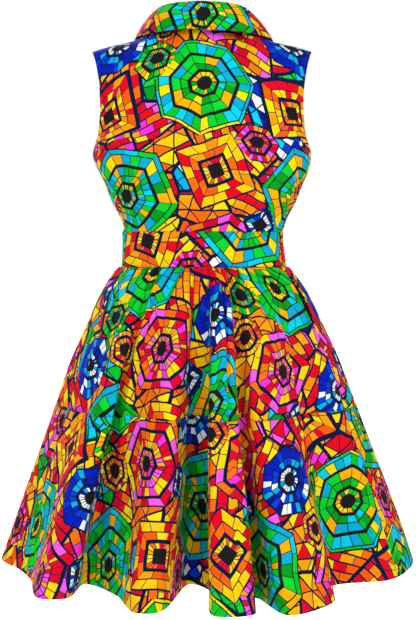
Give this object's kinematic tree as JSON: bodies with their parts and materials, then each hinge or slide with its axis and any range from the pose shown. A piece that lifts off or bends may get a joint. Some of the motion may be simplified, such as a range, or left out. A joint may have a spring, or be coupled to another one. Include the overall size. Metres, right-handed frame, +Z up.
{
  "type": "ankara wax print dress",
  "caption": "Sleeveless shirt dress in ankara wax print: turned-down collar, buttoned front, fitted waistband, gathered skirt and flared lower tier in deep cone folds",
  "frame": {"origin": "midway between the wearer's shoulders, level with the middle of the shoulder seams, on the mount named shoulders", "axes": "+Z up, +Y the way the wearer faces, so -Y is the back that the picture shows, and +X the wearer's right"},
  "size_m": [0.7456, 0.7359, 0.9912],
  "materials": {
    "ankara_cloth": "crisp wax-printed cotton, matt with a slight sheen, in red, orange, yellow, green, cyan, pink and navy",
    "pocket_cloth": "matt cotton",
    "button_plastic": "polished dark plastic"
  },
  "bodies": {
    "root": {"bodice_back": "ankara_cloth", "bodice_front_left": "ankara_cloth", "bodice_front_right": "ankara_cloth", "bodice_placket": "ankara_cloth", "button_1": "button_plastic", "button_10": "button_plastic", "button_11": "button_plastic", "button_2": "button_plastic", "button_3": "button_plastic", "button_4": "button_plastic", "button_5": "button_plastic", "button_6": "button_plastic", "button_7": "button_plastic", "button_8": "button_plastic", "button_9": "button_plastic", "collar_fall": "ankara_cloth", "collar_stand": "ankara_cloth", "pocket_bag_back": "pocket_cloth", "pocket_bag_front": "pocket_cloth", "skirt_back": "ankara_cloth", "skirt_front_left": "ankara_cloth", "skirt_front_right": "ankara_cloth", "skirt_placket": "ankara_cloth", "tier_back": "ankara_cloth", "tier_front_left": "ankara_cloth", "tier_front_right": "ankara_cloth", "waistband_back": "ankara_cloth", "waistband_front_left": "ankara_cloth", "waistband_front_right": "ankara_cloth"}
  },
  "joints": []
}
